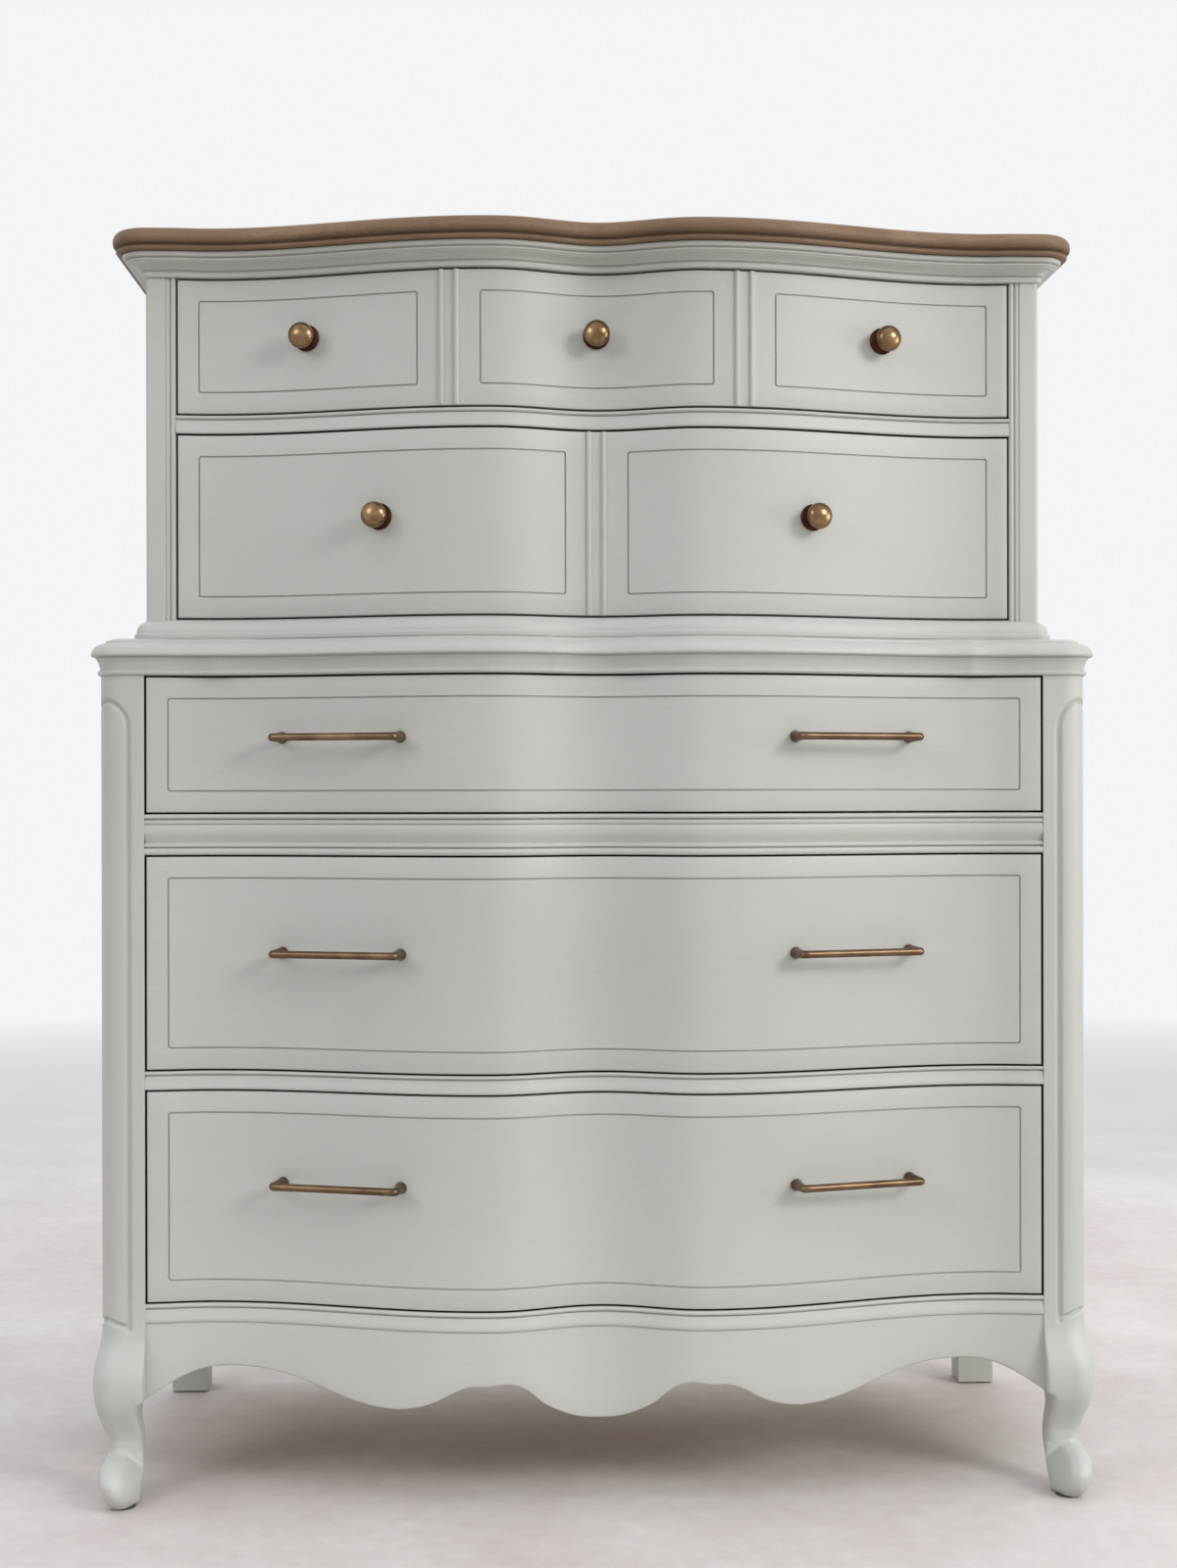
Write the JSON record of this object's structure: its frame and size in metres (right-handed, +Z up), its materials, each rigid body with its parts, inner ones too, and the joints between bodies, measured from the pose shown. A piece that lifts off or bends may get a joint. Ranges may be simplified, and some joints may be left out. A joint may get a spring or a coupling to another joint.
{
  "type": "chest of drawers",
  "caption": "Two-tier chest of wide drawers with a serpentine front, moulded top, shaped apron and cabriole front legs.",
  "frame": {"origin": "on the floor, under the middle of the overall box", "axes": "+X to the right seen from the front, -Y out of the drawers, +Z up"},
  "size_m": [1.052, 0.5189, 1.311],
  "materials": {
    "paint": "satin warm grey paint",
    "stain": "brown stain, matt varnish",
    "maple": "bare sanded hardwood",
    "birch": "bare plywood",
    "brass": "aged and brushed",
    "steel": "zinc plated",
    "nylon": "moulded nylon"
  },
  "bodies": {
    "case": {"top_slab": "stain", "cornice": "paint", "upper_top_rail": "paint", "top_cleats": "maple", "upper_side_left": "paint", "upper_side_right": "paint", "upper_post_left": "paint", "upper_post_right": "paint", "upper_back": "birch", "upper_mid_rail": "paint", "upper_base_rail": "paint", "base_moulding": "paint", "drawer_frame_1": "maple", "drawer_frame_2": "maple", "waist_moulding": "paint", "lower_top_board": "maple", "lower_top_rail": "paint", "lower_side_left": "paint", "lower_side_right": "paint", "front_leg_left": "paint", "front_leg_right": "paint", "rear_leg_left": "paint", "rear_leg_right": "paint", "lower_back": "birch", "middle_rail": "paint", "lower_rail": "paint", "bottom_rail": "paint", "apron": "paint", "drawer_frame_3": "maple", "drawer_frame_4": "maple", "drawer_frame_5": "maple", "foot_glides": "nylon", "case_screws": "steel"},
    "drawer_1": {"drawer_1_front": "paint", "drawer_1_sides": "maple", "drawer_1_back": "maple", "drawer_1_bottom": "birch", "drawer_1_knobs": "brass"},
    "drawer_2": {"drawer_2_front": "paint", "drawer_2_sides": "maple", "drawer_2_back": "maple", "drawer_2_bottom": "birch", "drawer_2_knobs": "brass"},
    "drawer_3": {"drawer_3_front": "paint", "drawer_3_sides": "maple", "drawer_3_back": "maple", "drawer_3_bottom": "birch", "drawer_3_pulls": "brass"},
    "drawer_4": {"drawer_4_front": "paint", "drawer_4_sides": "maple", "drawer_4_back": "maple", "drawer_4_bottom": "birch", "drawer_4_pulls": "brass"},
    "drawer_5": {"drawer_5_front": "paint", "drawer_5_sides": "maple", "drawer_5_back": "maple", "drawer_5_bottom": "birch", "drawer_5_pulls": "brass"}
  },
  "joints": [
    {"name": "drawer_1_slide", "type": "slide", "parent": "case", "child": "drawer_1", "axis": [0, -1, 0], "range_m": [0, 0.3]},
    {"name": "drawer_2_slide", "type": "slide", "parent": "case", "child": "drawer_2", "axis": [0, -1, 0], "range_m": [0, 0.3]},
    {"name": "drawer_3_slide", "type": "slide", "parent": "case", "child": "drawer_3", "axis": [0, -1, 0], "range_m": [0, 0.29]},
    {"name": "drawer_4_slide", "type": "slide", "parent": "case", "child": "drawer_4", "axis": [0, -1, 0], "range_m": [0, 0.29]},
    {"name": "drawer_5_slide", "type": "slide", "parent": "case", "child": "drawer_5", "axis": [0, -1, 0], "range_m": [0, 0.29]}
  ]
}
